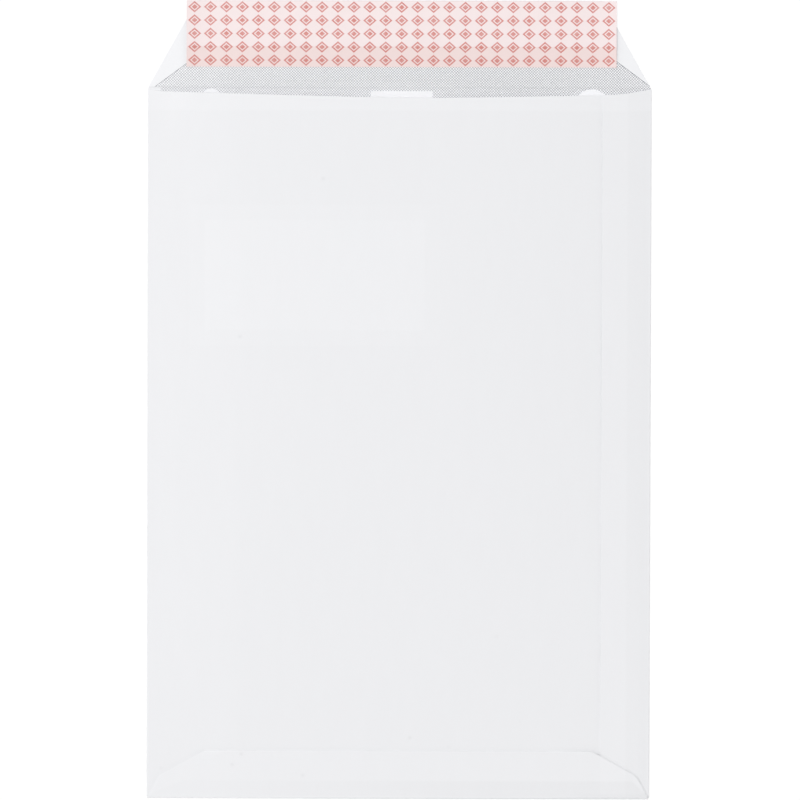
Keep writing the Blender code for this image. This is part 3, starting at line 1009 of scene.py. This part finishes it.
dried_glue = make_glue("dried_glue", GLUE_COLOUR, GLUE_ROUGHNESS, GLUE_CLOUD_SCALE, GLUE_TONES)
tacky_adhesive = make_glue(
    "tacky_adhesive", ADHESIVE_COLOUR, ADHESIVE_ROUGHNESS, ADHESIVE_CLOUD_SCALE, ADHESIVE_TONES
)
for node_name, finish in (
    ("window_glue", dried_glue),
    ("side_seam_glue", dried_glue),
    ("bottom_seam_glue", dried_glue),
    ("flap_adhesive", tacky_adhesive),
):
    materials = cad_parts[node_name].data.materials
    materials.clear()
    materials.append(finish)
    print(node_name, "gets", finish.name)

# %% [markdown]
# ## Join the pieces to the frame
#
# Paper has no joints at its folds, so everything rides on the envelope's one body. Each row lists a
# new piece, the solid that it stands for, which is hidden, and the material slot of its finish,
# which nothing here reads.

# %% Join the pieces to the frame
for piece, node_name, slot in (
    (paper_sheet, "envelope_sheet", "paper"),
    (liner_strip, "release_liner", "liner"),
    (film_sheet, "window_film", "film"),
):
    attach(piece, "root")
    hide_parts(node_name)
    print(piece.name, "stands for", node_name)

# %% [markdown]
# ## The table
#
# The envelope lies on a white table. It has to look pure white and still show the envelope's faint
# shadow, and it may not throw more light on the paper than a real table would. So the table has two
# faces: to the camera a darker surface that glows, and to the rest of the scene a plain pale one.

# %% The table
TABLE_HALF_SIDE = 12
TABLE_DROP = 0.0002
TABLE_COLOUR = (0.9, 0.9, 0.9, 1)
SHOWN_TABLE_COLOUR = (0.24, 0.24, 0.24, 1)
TABLE_GLOW = 0.8
TABLE_ROUGHNESS = 0.9
TABLE_GLOSS = 0.0
PURE_WHITE = (1, 1, 1, 1)


def seen_directly(network):
    """1 for rays from the camera, and for those that a gloss or clear surface passes on."""
    path = network.nodes.new("ShaderNodeLightPath")
    seen = path.outputs["Is Camera Ray"]
    for ray in ("Is Glossy Ray", "Is Transmission Ray"):
        seen = calc("MAXIMUM", seen, path.outputs[ray])
    return seen


bpy.ops.object.select_all(action="DESELECT")
bpy.ops.mesh.primitive_plane_add(size=2 * TABLE_HALF_SIDE, location=(0, 0, -TABLE_DROP))
table = bpy.context.object
table.name = "table"
table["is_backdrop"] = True
white_table, table_shader, _ = start_finish("white_table", TABLE_ROUGHNESS, TABLE_GLOSS)
seen = seen_directly(white_table.node_tree)
feed(blend(seen, TABLE_COLOUR, SHOWN_TABLE_COLOUR), table_shader.inputs["Base Color"])
table_shader.inputs["Emission Color"].default_value = PURE_WHITE
feed(product(seen, TABLE_GLOW), table_shader.inputs["Emission Strength"])
table.data.materials.append(white_table)
print("table:", 2 * TABLE_HALF_SIDE, "m wide")

# %% [markdown]
# ## The light all round
#
# A white surrounding light stands for a bright room. It is brighter near the horizon than above, so
# that the folds and the mouth aren't dark. Seen directly it is plain white.

# %% The light all round
HORIZON_STRENGTH = 1.0
ZENITH_STRENGTH = 0.40
HORIZON_UP_TO = 0.3
ZENITH_FROM = 0.7

world = bpy.data.worlds.new("surroundings")
bpy.context.scene.world = world
world.use_nodes = True
sky = world.node_tree.nodes["Background"]
sky.inputs["Color"].default_value = PURE_WHITE
direction = world.node_tree.nodes.new("ShaderNodeTexCoord").outputs["Generated"]
_, _, upwards = along_axes(direction)
sky_light = ramp(upwards, HORIZON_UP_TO, ZENITH_FROM, HORIZON_STRENGTH, ZENITH_STRENGTH)
feed(calc("MAXIMUM", sky_light, seen_directly(world.node_tree)), sky.inputs["Strength"])
print("surrounding light:", HORIZON_STRENGTH, "at the horizon,", ZENITH_STRENGTH, "above")

# %% [markdown]
# ## One large lamp
#
# One soft lamp, high up on the left, gives the slow change of tone across the paper and a thin
# shadow beside each cut edge that faces right. A small lamp would draw hard shadows, and a nearer
# one would fade too fast. Together with the room it lights a level white surface at just its own
# colour.

# %% One large lamp
LAMP_POWER = 129.5
LAMP_SIZE = 1.46
LAMP_PLACE = Vector((-1.6, 0.5, 5.0))

lamp_data = bpy.data.lights.new("lamp", "AREA")
lamp_data.energy = LAMP_POWER
lamp_data.size = LAMP_SIZE
lamp = bpy.data.objects.new("lamp", lamp_data)
bpy.context.scene.collection.objects.link(lamp)
lamp.location = LAMP_PLACE
lamp.rotation_euler = LAMP_PLACE.to_track_quat("Z", "Y").to_euler()
bpy.context.scene.view_settings.view_transform = "Standard"
print("lamp:", round(LAMP_PLACE.length, 2), "m away")

# %% [markdown]
# ## Size and finish
#
# The looks are meant to leave the size of the object as it was, so the box of the loaded solids and
# the box of the dressed model are printed side by side.

# %% Size and finish
dressed_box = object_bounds()
for name, (low, high) in (("loaded", cad_box), ("dressed", dressed_box)):
    print(name, "box:", [round(1000 * side, 2) for side in high - low], "mm")
